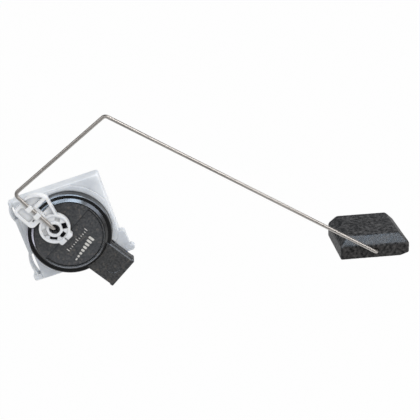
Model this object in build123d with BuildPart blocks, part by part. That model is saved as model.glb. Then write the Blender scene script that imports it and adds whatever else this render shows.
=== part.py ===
"""Fuel level sender: a sealed magnetic angle sensor in a carrier, with a wire arm and a foam float.

The origin is the centre of the sensor housing's flat rear face. +Z is up, +X is to the float's side,
and +Y goes into the depth, so the sensor's face looks towards -Y. All sizes are in millimetres.
"""
from build123d import *
from math import cos, radians, sin, sqrt
import os

os.makedirs("parts", exist_ok=True)

# Carrier: a shallow box, open at the back
carrier_depth = 10.0
margin_left = 1.55
margin_right = 1.95
margin_top = 2.55
margin_bottom = 0.0
plate_corner = 1.2
plate_edge = 0.9
plate_wall = 1.8
collar_width = 3.25
collar_height = 1.1
collar_gap = 0.5
barrel_wall = 2.0
barrel_rear_step = 3.4
rib_count = 4
rib_thickness = 1.2
rib_rear_step = 1.5

# Guide rail with two leaf springs, on the carrier's left side
rail_front_step = 1.0
rail_depth = 6.5
rail_reach = 2.4
rail_pad_top = 16.5
rail_pad_bottom = -7.5
rail_head_height = 3.2
leaf_thickness = 1.2
upper_leaf_bow = 1.3
lower_leaf_bow = 1.8
foot_reach = 5.3
foot_height = 3.4
foot_rise = 0.8

# Wing and hook, on the carrier's right side
wing_reach = 3.4
wing_top = -11.0
wing_thickness = 5.0
wing_flare = 1.2
hook_reach = 5.8
hook_height = 3.6
hook_tip = 1.3

# Sensor housing
housing_radius = 25.35
drum_height = 7.8
drum_flange = 3.75
spigot_wall = 1.6
spigot_clearance = 0.15
floor_thickness = 2.0
drum_edge = 0.5
lug_count = 3
lug_width = 7.0
lug_reach = 1.5
lug_height = 1.6
lug_clearance = 0.3
nib_angle = -132.0
nib_width = 2.2
nib_reach = 1.3
nib_height = 1.6

# Connector shroud, in one piece with the housing
connector_angle = -58.6
connector_length = 16.05
connector_width = 20.6
connector_thickness = 7.7
connector_rear_gap = 0.3
connector_edge = 0.7
connector_front_edge = 0.6
ledge_reach = 0.3
ledge_height = 4.6
mouth_lip_length = 1.8
mouth_lip_reach = 0.45
shroud_wall = 1.45
socket_depth = 14.0
key_rib_width = 1.2
key_rib_height = 0.7
catch_width = 6.0
catch_length = 3.0
catch_height = 1.1
catch_setback = 1.5
gate_mark_radius = 4.4
gate_mark_depth = 0.15
gate_mark_setback = 8.0

# Connector blades
blade_pitch = 5.0
blade_width = 1.5
blade_thickness = 0.8
blade_reach = 7.5
blade_point = 0.5
leg_width = 0.8
leg_setback = 9.5
leg_past_board = 0.8
solder_radius = 1.1
solder_height = 0.5
sealant_width = 14.0
sealant_length = 2.2
sealant_height = 2.0

# Lid
lid_rise = 2.0
rim_wall = 2.35
lid_slope = 1.8
lid_edge = 0.4
lid_rim_thickness = 1.4
lid_clearance = 0.05
lid_plate = 1.8
lid_skirt = 1.5
lid_skirt_wall = 1.5
field_border = 1.0
field_depth = 0.35
field_chord = 1.8
groove_width = 0.7
groove_depth = 0.4
seal_width = 1.2
seal_squeeze = 0.04
seal_groove_width = 1.35
seal_groove_depth = 1.0
seal_inner_wall = 0.8

# Pivot
pivot_x = -6.0
pivot_z = 8.6
post_radius = 2.9
running_clearance = 0.06
post_lip_height = 0.6
post_lip_wall = 1.1
post_slot = 0.7
post_slot_depth = 2.0
post_boss_radius = 3.6
post_boss_depth = 0.8
lip_clearance = 0.12

# Circuit board and what it carries
board_gap = 2.4
board_thickness = 1.6
board_front_gap = 1.6
pillar_radius = 1.6
pillar_setback = 5.4
pillar_angles = (20.0, 165.0, 250.0)
chip_length = 4.9
chip_width = 3.9
chip_height = 1.4
chip_leg_count = 4
chip_leg_pitch = 1.27
chip_leg_width = 0.4
chip_leg_thickness = 0.2
chip_leg_reach = 1.05
chip_edge = 0.2
capacitor_length = 3.2
capacitor_width = 1.6
capacitor_height = 1.3
capacitor_spacing = 3.4
capacitor_row = 6.0
resistor_length = 2.0
resistor_width = 1.25
resistor_height = 0.5
resistor_spacing = 2.6
resistor_row = 2.5

# Wire arm
wire_diameter = 2.2
bend_radius = 2.6
arm_angle = 116.3
root_length = 31.6
rise_angle = 22.8
rise_length = 70.9
reach_angle = -46.8
reach_length = 187.4
wire_groove_depth = 0.6
wire_clearance = 0.06
wire_foot_depth = 5.0
wire_foot_gap = 0.3
wire_past_float = 4.3
wire_point = 0.3

# Lever
lever_gap = 0.4
lever_thickness = 4.2
hub_radius = 9.2
hub_ring_wall = 1.7
hub_ring_rise = 0.5
hub_face_step = 0.5
hub_rim_wall = 1.3
window_count = 6
window_radius = 6.0
window_length = 2.9
window_width = 2.3
window_corner = 0.4
blind_window_depth = 0.7
lug_half_width = 4.7
lug_end = 10.5
lug_corner = 1.0
lug_slit = 1.0
lug_slit_depth = 2.2
arm_end = 25.6
arm_half_width = 11.5
arm_shoulder = 16.8
arm_end_bulge = 2.3
arm_end_share = 0.62
arm_edge_angle = 55.0
arm_sheet = 1.6
edge_rib = 1.3
cross_rib_place = 16.3
cross_rib_width = 2.2
opening_length = 3.5
opening_inner = 1.6
opening_outer = 8.6
wing_start = 9.2
wing_end = 24.6
wing_side = 9.5
wing_corner = 3.0
pocket_wall = 1.7
pocket_depth = 2.0
pocket_inner = 3.0
pocket_shift = 1.2
drain_length = 1.8
drain_width = 0.8
drain_place = 3.2
clip_length = 3.0
clip_wall = 1.0
clip_foot = 1.2
clip_mouth = 0.5
clip_lip = 0.45
clip_places = (13.3, 19.6)

# Magnet and steel ring in the hub
magnet_thickness = 1.6
flux_thickness = 0.6
magnet_wall = 1.0
magnet_clearance = 0.1
magnet_inner_wall = 0.9

# Float
float_length = 43.0
float_depth = 45.0
float_below = 4.6
float_above = 9.2
float_left = 22.2
float_slope = 5.2
float_corner = 6.5
float_underside_cut = 5.5
float_underside_rise = 1.9
float_tilt = -15.0
float_gap = 0.2

# Retaining cap on the wire's far end
cap_radius = 4.2
cap_thickness = 1.0
cap_edge = 0.3
cap_sleeve_radius = 2.3
cap_sleeve_length = 2.4
cap_gap = 0.3
cap_grip_clearance = 0.02

# Radii that follow the housing, and the carrier's four sides round it
collar_radius = housing_radius + collar_width
spigot_radius = housing_radius - drum_flange
cavity_radius = spigot_radius - spigot_wall
connector_reach = housing_radius + connector_length
lid_rim_radius = housing_radius - rim_wall
lid_top_radius = lid_rim_radius - lid_slope
field_radius = lid_top_radius - field_border
board_radius = cavity_radius - board_gap
pillar_ring = cavity_radius - pillar_setback
plate_left = -housing_radius - margin_left
plate_right = housing_radius + margin_right
plate_top = housing_radius + margin_top
plate_bottom = -housing_radius - margin_bottom

# Levels along the depth
carrier_front = -carrier_depth
drum_front = carrier_front - drum_height
lid_front = drum_front - lid_rise
lever_rear = lid_front - lever_gap
lever_front = lever_rear - lever_thickness
wire_radius = wire_diameter / 2
wire_level = lever_front - wire_radius + wire_groove_depth
lid_seat = drum_front + lid_rim_thickness
lid_underside = lid_front + lid_plate
board_front = lid_underside + board_front_gap
board_rear = board_front + board_thickness
connector_rear = carrier_front - connector_rear_gap
connector_front = connector_rear - connector_thickness
blade_level = (connector_rear + connector_front) / 2
float_front = wire_level + bend_radius + float_gap
float_rear = float_front + float_depth
wire_end = float_rear + wire_past_float

# Places across the face
elbow_1 = (
    pivot_x + root_length * cos(radians(arm_angle)),
    pivot_z + root_length * sin(radians(arm_angle)),
)
elbow_2 = (
    elbow_1[0] + rise_length * cos(radians(rise_angle)),
    elbow_1[1] + rise_length * sin(radians(rise_angle)),
)
float_axis = (
    elbow_2[0] + reach_length * cos(radians(reach_angle)),
    elbow_2[1] + reach_length * sin(radians(reach_angle)),
)


def face_plane(level, x=0.0, z=0.0, angle=0.0):
    """Plane across the sensor's axis at a depth, looking at the viewer, turned by an angle."""
    direction = (cos(radians(angle)), 0, sin(radians(angle)))
    return Plane(origin=(x, level, z), x_dir=direction, z_dir=(0, -1, 0))


def connector_plane(level):
    """Plane at a depth whose x direction runs out along the connector."""
    return face_plane(level, angle=connector_angle)


def shroud_plane(place):
    """Plane across the connector at a distance from the centre, whose y direction runs to the front."""
    rear = connector_plane(connector_rear)
    return Plane(origin=rear.from_local_coords((place, 0, 0)), x_dir=rear.y_dir, z_dir=rear.x_dir)


def lever_plane(level):
    """Plane at a depth, centred on the pivot, whose x direction runs out along the lever."""
    return face_plane(level, pivot_x, pivot_z, arm_angle)


def float_plane(level):
    """Plane at a depth, centred on the float's hole and tilted with the float."""
    return face_plane(level, float_axis[0], float_axis[1], float_tilt)


# Carrier: box, collar, barrel and ribs
plate_width = plate_right - plate_left
plate_height = plate_top - plate_bottom
plate_x = (plate_right + plate_left) / 2
plate_z = (plate_top + plate_bottom) / 2
bore_radius = spigot_radius + spigot_clearance
barrel_radius = bore_radius + barrel_wall
hollow_depth = carrier_depth - plate_wall
rail_front = carrier_front + rail_front_step
rail_rear = rail_front + rail_depth
hook_bottom = plate_bottom
shroud_foot_width = connector_width + 2 * ledge_reach

with BuildPart() as carrier:
    with BuildSketch(face_plane(0)):
        with Locations((plate_x, plate_z)):
            RectangleRounded(plate_width, plate_height, plate_corner)
    extrude(amount=carrier_depth)
    fillet(carrier.edges().group_by(Axis.Y)[0], plate_edge)
    with BuildSketch(face_plane(0)):
        with Locations((plate_x, plate_z)):
            Rectangle(plate_width - 2 * plate_wall, plate_height - 2 * plate_wall)
        Circle(barrel_radius, mode=Mode.SUBTRACT)
    extrude(amount=hollow_depth, mode=Mode.SUBTRACT)
    with BuildSketch(face_plane(0)):
        Circle(barrel_radius)
    extrude(amount=barrel_rear_step, mode=Mode.SUBTRACT)
    # Collar round the drum's foot, cut off by the box's sides
    with BuildSketch(face_plane(carrier_front)):
        with Locations((plate_x, plate_z)):
            Rectangle(plate_width - 2 * plate_edge, plate_height - 2 * plate_edge)
        Circle(collar_radius, mode=Mode.INTERSECT)
        Circle(housing_radius + lid_clearance, mode=Mode.SUBTRACT)
        with Locations(Location((0, 0, 0), (0, 0, connector_angle))):
            with Locations((collar_radius, 0)):
                Rectangle(2 * collar_radius, shroud_foot_width + 2 * collar_gap, mode=Mode.SUBTRACT)
    extrude(amount=collar_height)
    # Ribs from the barrel to the corners
    with BuildSketch(face_plane(-rib_rear_step)):
        with PolarLocations(barrel_radius + plate_width / 4, rib_count, 180 / rib_count):
            Rectangle(plate_width / 2, rib_thickness)
        with Locations((plate_x, plate_z)):
            Rectangle(plate_width - plate_wall, plate_height - plate_wall, mode=Mode.INTERSECT)
    extrude(amount=hollow_depth - rib_rear_step + plate_wall / 2)
    with BuildSketch(face_plane(0)):
        Circle(bore_radius)
    extrude(amount=carrier_depth, mode=Mode.SUBTRACT)
    # Guide rail: head, pad and foot, joined by two bowed leaf springs
    with BuildSketch(face_plane(rail_rear)):
        rail_x = plate_left - rail_reach / 2
        with Locations((rail_x + plate_wall / 4, plate_top - rail_head_height / 2)):
            Rectangle(rail_reach + plate_wall / 2, rail_head_height)
        with Locations((rail_x + plate_wall / 4, (rail_pad_top + rail_pad_bottom) / 2)):
            Rectangle(rail_reach + plate_wall / 2, rail_pad_top - rail_pad_bottom)
        with BuildLine():
            Polyline(
                (plate_left + plate_wall / 2, plate_bottom),
                (plate_left - foot_reach + foot_rise, plate_bottom),
                (plate_left - foot_reach, plate_bottom + foot_rise),
                (plate_left - foot_reach, plate_bottom + foot_height),
                (plate_left + plate_wall / 2, plate_bottom + foot_height),
                close=True,
            )
        make_face()
        leaf_x = plate_left - rail_reach + leaf_thickness / 2
        upper_foot = plate_top - rail_head_height
        lower_foot = plate_bottom + foot_height
        with BuildLine():
            ThreePointArc(
                (leaf_x, rail_pad_top - leaf_thickness),
                (leaf_x - upper_leaf_bow, (rail_pad_top + upper_foot) / 2),
                (leaf_x, upper_foot + leaf_thickness),
            )
        trace(line_width=leaf_thickness)
        with BuildLine():
            ThreePointArc(
                (leaf_x, lower_foot - leaf_thickness),
                (leaf_x - lower_leaf_bow, (rail_pad_bottom + lower_foot) / 2),
                (leaf_x, rail_pad_bottom + leaf_thickness),
            )
        trace(line_width=leaf_thickness)
    extrude(amount=rail_depth)
    # Wing with a hook at its lower end
    with BuildSketch(face_plane(carrier_front + wing_thickness)):
        with BuildLine():
            Polyline(
                (plate_right - plate_wall / 2, wing_top),
                (plate_right + wing_reach - wing_flare, wing_top),
                (plate_right + wing_reach, wing_top - wing_flare),
                (plate_right + wing_reach, hook_bottom + hook_height),
                (plate_right + hook_reach - hook_tip, hook_bottom + hook_height),
                (plate_right + hook_reach, hook_bottom + hook_height - hook_tip),
                (plate_right + hook_reach, hook_bottom + hook_tip),
                (plate_right + hook_reach - hook_tip, hook_bottom),
                (plate_right - plate_wall / 2, hook_bottom),
                close=True,
            )
        make_face()
    extrude(amount=wing_thickness)

# Sensor housing: spigot, drum, connector shroud and what is moulded to them
connector_axis = Axis((0, 0, 0), (cos(radians(connector_angle)), 0, sin(radians(connector_angle))))
socket_root = connector_reach - socket_depth
drum_cut = housing_radius / 2
socket_height = connector_thickness - 2 * shroud_wall
seal_groove_inner = cavity_radius + seal_inner_wall
seal_groove_outer = seal_groove_inner + seal_groove_width
lug_front = -barrel_rear_step + lug_clearance + lug_height
leg_place = cavity_radius - leg_setback
sealant_place = cavity_radius + sealant_length / 2

with BuildPart() as sensor_housing:
    with BuildSketch(face_plane(0)):
        Circle(spigot_radius)
    extrude(amount=carrier_depth)
    with BuildSketch(face_plane(carrier_front)):
        Circle(housing_radius)
    extrude(amount=drum_height)
    rim_edges = sensor_housing.edges().filter_by(GeomType.CIRCLE).group_by(Axis.Y)[0]
    chamfer(rim_edges, drum_edge)
    # Connector shroud: chamfered in front, with a ledge along its rear and a lip round its mouth
    with BuildSketch(shroud_plane(drum_cut)):
        with Locations((0, connector_thickness / 2)):
            Rectangle(connector_width, connector_thickness)
        chamfer(vertices().group_by(Axis.Y)[-1], connector_front_edge)
        with Locations((0, ledge_height / 2)):
            Rectangle(shroud_foot_width, ledge_height)
    extrude(amount=connector_reach - drum_cut)
    with BuildSketch(shroud_plane(connector_reach - mouth_lip_length)):
        with Locations((0, connector_thickness / 2)):
            Rectangle(connector_width + 2 * mouth_lip_reach, connector_thickness)
        chamfer(vertices().group_by(Axis.Y)[-1], connector_front_edge)
    extrude(amount=mouth_lip_length)
    tip_edges = sensor_housing.edges().filter_by(Axis.Y).group_by(connector_axis)[-1]
    fillet(tip_edges, connector_edge)
    # Seat of the lid, groove of its seal and the cavity
    with BuildSketch(face_plane(lid_seat)):
        Circle(lid_rim_radius + lid_clearance)
    extrude(amount=lid_rim_thickness + drum_edge, mode=Mode.SUBTRACT)
    with BuildSketch(face_plane(lid_seat + seal_groove_depth)):
        Circle(seal_groove_outer)
        Circle(seal_groove_inner, mode=Mode.SUBTRACT)
    extrude(amount=seal_groove_depth, mode=Mode.SUBTRACT)
    with BuildSketch(face_plane(-floor_thickness)):
        Circle(cavity_radius)
    extrude(until=Until.LAST, mode=Mode.SUBTRACT)
    # Pillars under the circuit board
    with BuildSketch(face_plane(-floor_thickness / 2)):
        for pillar_angle in pillar_angles:
            with PolarLocations(pillar_ring, 1, start_angle=pillar_angle):
                Circle(pillar_radius)
    extrude(amount=-board_rear - floor_thickness / 2)
    # Socket with two key ribs
    with BuildSketch(connector_plane(blade_level + socket_height / 2)):
        with Locations(((socket_root + connector_reach + connector_edge) / 2, 0)):
            Rectangle(socket_depth + connector_edge, connector_width - 2 * shroud_wall)
    extrude(amount=socket_height, mode=Mode.SUBTRACT)
    with BuildSketch(connector_plane(blade_level + socket_height / 2)):
        for side in (-1, 1):
            with Locations(((socket_root + connector_reach - connector_edge) / 2, side * blade_pitch)):
                Rectangle(socket_depth - connector_edge, key_rib_width)
    extrude(amount=key_rib_height)
    # Catch behind the mouth, sloped on its outer side
    catch_end = connector_reach - catch_setback
    catch_plane = Plane(
        origin=connector_plane(connector_rear).from_local_coords((0, -catch_width / 2, 0)),
        x_dir=connector_plane(0).x_dir,
        z_dir=connector_plane(0).y_dir,
    )
    with BuildSketch(catch_plane):
        with BuildLine():
            Polyline(
                (catch_end, shroud_wall / 2),
                (catch_end, 0),
                (catch_end - catch_length, -catch_height),
                (catch_end - catch_length, shroud_wall / 2),
                close=True,
            )
        make_face()
    extrude(amount=catch_width)
    # Blade slots and the well of the sealant
    with BuildSketch(connector_plane(blade_level + blade_thickness / 2)):
        with Locations(((leg_place + socket_root) / 2 + cavity_radius / 4, 0)):
            with GridLocations(0, blade_pitch, 1, 3):
                Rectangle(socket_root + sealant_length, blade_width)
    extrude(amount=blade_thickness, mode=Mode.SUBTRACT)
    with BuildSketch(connector_plane(blade_level + sealant_height / 2)):
        with Locations((sealant_place - sealant_length / 2, 0)):
            Rectangle(2 * sealant_length, sealant_width)
    extrude(amount=sealant_height, mode=Mode.SUBTRACT)
    # Lugs that lock behind the carrier's barrel
    with BuildSketch(face_plane(lug_front)):
        with PolarLocations(spigot_radius, lug_count, start_angle=90):
            Rectangle(2 * lug_reach, lug_width)
        Circle(spigot_radius - floor_thickness / 2, mode=Mode.SUBTRACT)
    extrude(amount=lug_height)
    # Nib at the drum's foot
    with BuildSketch(face_plane(carrier_front - collar_height - lug_clearance)):
        with PolarLocations(housing_radius, 1, start_angle=nib_angle):
            Rectangle(2 * nib_reach, nib_width)
        Circle(lid_rim_radius, mode=Mode.SUBTRACT)
    extrude(amount=nib_height)
    # Round mould mark on the shroud's face
    with BuildSketch(connector_plane(connector_front + gate_mark_depth)):
        with Locations((connector_reach - gate_mark_setback, 0)):
            Circle(gate_mark_radius)
    extrude(amount=gate_mark_depth, mode=Mode.SUBTRACT)

# Lid: sloped shoulder, skirt and pivot post, turned round the sensor's axis
lip_cone_drop = bend_radius - wire_radius - lever_gap / 2
inner_bend = bend_radius - wire_radius
post_cone_radius = bend_radius - sqrt(inner_bend**2 - lip_cone_drop**2) + lip_clearance
post_bore = wire_radius + running_clearance
post_top = wire_level + wire_radius + lever_gap / 2
post_lip_radius = post_cone_radius + post_lip_wall
post_bottom = lid_underside + post_boss_depth
bore_bottom = wire_level + wire_radius + wire_foot_depth
skirt_radius = cavity_radius - lid_clearance
skirt_end = lid_seat + lid_skirt

with BuildPart() as sensor_lid:
    with BuildSketch(Plane.XY):
        with BuildLine():
            Polyline(
                (0, lid_underside),
                (skirt_radius - lid_skirt_wall, lid_underside),
                (skirt_radius - lid_skirt_wall, skirt_end),
                (skirt_radius, skirt_end),
                (skirt_radius, lid_seat),
                (lid_rim_radius, lid_seat),
                (lid_rim_radius, drum_front),
                (lid_top_radius, lid_front),
                (0, lid_front),
                close=True,
            )
        make_face()
    revolve(axis=Axis.Y)
    shoulder = sensor_lid.edges().filter_by(GeomType.CIRCLE).group_by(Axis.Y)[0]
    chamfer(shoulder, lid_edge)
    # Sunken field on the connector's side of a chord, with a groove along its edge
    with BuildSketch(connector_plane(lid_front + field_depth)):
        Circle(field_radius)
        with Locations((-field_radius - field_chord, 0)):
            Rectangle(2 * field_radius, 2 * field_radius, mode=Mode.SUBTRACT)
    extrude(amount=field_depth, mode=Mode.SUBTRACT)
    with BuildSketch(connector_plane(lid_front + field_depth + groove_depth)):
        Circle(field_radius)
        Circle(field_radius - groove_width, mode=Mode.SUBTRACT)
        with Locations((-field_radius - field_chord, 0)):
            Rectangle(2 * field_radius, 2 * field_radius, mode=Mode.SUBTRACT)
    extrude(amount=groove_depth, mode=Mode.SUBTRACT)
    # Post with a snap lip, bored for the wire's foot
    with BuildSketch(lever_plane(post_bottom)):
        Circle(post_boss_radius)
    extrude(amount=post_bottom - lid_underside + lid_plate / 2)
    with BuildSketch(lever_plane(lid_underside)):
        Circle(post_radius)
    extrude(amount=lid_underside - post_top)
    with BuildSketch(lever_plane(post_top + post_lip_height)):
        Circle(post_lip_radius)
    extrude(amount=post_lip_height)
    with BuildSketch(lever_plane(bore_bottom)):
        Circle(post_bore)
    extrude(amount=bore_bottom - post_top, mode=Mode.SUBTRACT)
    with BuildSketch(lever_plane(wire_level + bend_radius)):
        Circle(post_bore)
    with BuildSketch(lever_plane(post_top)):
        Circle(post_cone_radius)
    loft(mode=Mode.SUBTRACT)
    with BuildSketch(lever_plane(post_top)):
        Rectangle(3 * post_lip_radius, post_slot)
        Rectangle(post_slot, 3 * post_lip_radius)
    extrude(amount=-post_slot_depth, mode=Mode.SUBTRACT)

seal_ring_radius = (seal_groove_inner + seal_groove_outer) / 2
with BuildPart() as lid_seal:
    with BuildSketch(face_plane(lid_seat + seal_groove_depth)):
        Circle(seal_ring_radius + seal_width / 2)
        Circle(seal_ring_radius - seal_width / 2, mode=Mode.SUBTRACT)
    extrude(amount=seal_groove_depth - seal_squeeze)

# Circuit board with holes for the blades' legs
with BuildPart() as circuit_board:
    with BuildSketch(connector_plane(board_rear)):
        Circle(board_radius)
        with Locations((leg_place, 0)):
            with GridLocations(0, blade_pitch, 1, 3):
                Circle(leg_width * sqrt(2) / 2 + wire_clearance, mode=Mode.SUBTRACT)
    extrude(amount=board_thickness)

# Sensor chip behind the board, under the pivot
with BuildPart() as hall_sensor:
    with BuildSketch(face_plane(board_rear + chip_height + chip_leg_thickness, pivot_x, pivot_z)):
        Rectangle(chip_length, chip_width)
    extrude(amount=chip_height)
    chamfer(hall_sensor.edges().group_by(Axis.Y)[-1], chip_edge)

leg_height = chip_leg_thickness + chip_height / 2
with BuildPart() as hall_sensor_legs:
    for leg_side in (-1, 1):
        for leg_number in range(chip_leg_count):
            leg_x = pivot_x + (leg_number - (chip_leg_count - 1) / 2) * chip_leg_pitch
            leg_plane = Plane(
                origin=(leg_x, board_rear, pivot_z + leg_side * chip_width / 2),
                x_dir=(0, 0, leg_side),
                z_dir=(-leg_side, 0, 0),
            )
            with BuildSketch(leg_plane):
                with BuildLine():
                    Polyline(
                        (0, leg_height),
                        (chip_leg_reach / 2, leg_height),
                        (chip_leg_reach / 2, 0),
                        (chip_leg_reach, 0),
                        (chip_leg_reach, chip_leg_thickness),
                        (chip_leg_reach / 2 + chip_leg_thickness, chip_leg_thickness),
                        (chip_leg_reach / 2 + chip_leg_thickness, leg_height + chip_leg_thickness),
                        (0, leg_height + chip_leg_thickness),
                        close=True,
                    )
                make_face()
            extrude(amount=chip_leg_width / 2, both=True)

with BuildPart() as capacitors:
    with BuildSketch(connector_plane(board_rear + capacitor_height)):
        with Locations((capacitor_row, 0)):
            with GridLocations(0, capacitor_spacing, 1, 2):
                Rectangle(capacitor_length, capacitor_width)
    extrude(amount=capacitor_height)

with BuildPart() as resistors:
    with BuildSketch(connector_plane(board_rear + resistor_height)):
        with Locations((resistor_row, 0)):
            with GridLocations(0, resistor_spacing, 1, 3):
                Rectangle(resistor_width, resistor_length)
    extrude(amount=resistor_height)

# Connector blades: a pointed blade in the socket and a leg through the board
blade_start = leg_place - leg_width / 2
blade_end = socket_root + blade_reach
terminals = []
for number, terminal in enumerate(("terminal_ground", "terminal_signal", "terminal_supply")):
    blade_row = (number - 1) * blade_pitch
    with BuildPart() as blade:
        with BuildSketch(connector_plane(blade_level + blade_thickness / 2)):
            with Locations(((blade_start + blade_end) / 2, blade_row)):
                Rectangle(blade_end - blade_start, blade_width)
        extrude(amount=blade_thickness)
        tip_face = blade.faces().sort_by(connector_axis)[-1]
        chamfer(tip_face.edges(), blade_thickness / 2 - blade_point / 2, blade_point)
        with BuildSketch(connector_plane(blade_level)):
            with Locations((leg_place, blade_row)):
                Rectangle(leg_width, leg_width)
        extrude(amount=blade_level - board_front + leg_past_board)
    blade.part.label = terminal
    terminals.append(blade.part)

with BuildPart() as solder_joints:
    with BuildSketch(connector_plane(board_front)):
        with GridLocations(0, blade_pitch, 1, 3):
            with Locations((leg_place, 0)):
                Circle(solder_radius)
    extrude(amount=solder_height, taper=45)
    with BuildSketch(connector_plane(board_front)):
        with GridLocations(0, blade_pitch, 1, 3):
            with Locations((leg_place, 0)):
                Rectangle(leg_width, leg_width)
    extrude(amount=solder_height, mode=Mode.SUBTRACT)

with BuildPart() as terminal_sealant:
    with BuildSketch(connector_plane(blade_level + sealant_height / 2)):
        with Locations((cavity_radius, 0)):
            Rectangle(2 * sealant_length, sealant_width)
        Circle(cavity_radius, mode=Mode.SUBTRACT)
    extrude(amount=sealant_height)
    with BuildSketch(connector_plane(blade_level + blade_thickness / 2)):
        with GridLocations(0, blade_pitch, 1, 3):
            with Locations((cavity_radius, 0)):
                Rectangle(3 * sealant_length, blade_width)
    extrude(amount=blade_thickness, mode=Mode.SUBTRACT)

# Lever: windowed hub, ribbed arm, pocketed wing and two wire clips
hub_bore = post_radius + running_clearance
lip_seat = post_top + post_lip_height + lip_clearance
lip_pocket = post_lip_radius + lip_clearance
hub_face = lever_front + hub_face_step
magnet_outer = hub_radius - magnet_wall
magnet_inner = hub_bore + magnet_inner_wall
magnet_pocket = magnet_thickness + flux_thickness + magnet_clearance
pocket_place = (wing_start + wing_end) / 2 + pocket_shift
window_step = 360 / window_count
open_windows = window_count - 3
open_range = (open_windows - 1) * window_step
groove_radius = wire_radius + wire_clearance
clip_front = wire_level - groove_radius - clip_wall
clip_near = -groove_radius - clip_lip
clip_far = groove_radius + clip_foot
bed_side = groove_radius + edge_rib / 2
arm_edge = (hub_radius * cos(radians(arm_edge_angle)), -hub_radius * sin(radians(arm_edge_angle)))


def arm_outline():
    """Face of the arm in the lever's plane, from the hub's centre to the rounded end."""
    with BuildSketch() as outline:
        with BuildLine():
            Polyline((wing_start, wing_corner), (0, 0), arm_edge, (arm_shoulder, -arm_half_width))
            ThreePointArc(
                (arm_shoulder, -arm_half_width),
                (arm_end - arm_end_bulge, -arm_half_width * arm_end_share),
                (arm_end, 0),
            )
            Polyline((arm_end, 0), (wing_end, wing_corner), (wing_start, wing_corner))
        make_face()
    return outline.sketch


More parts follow.
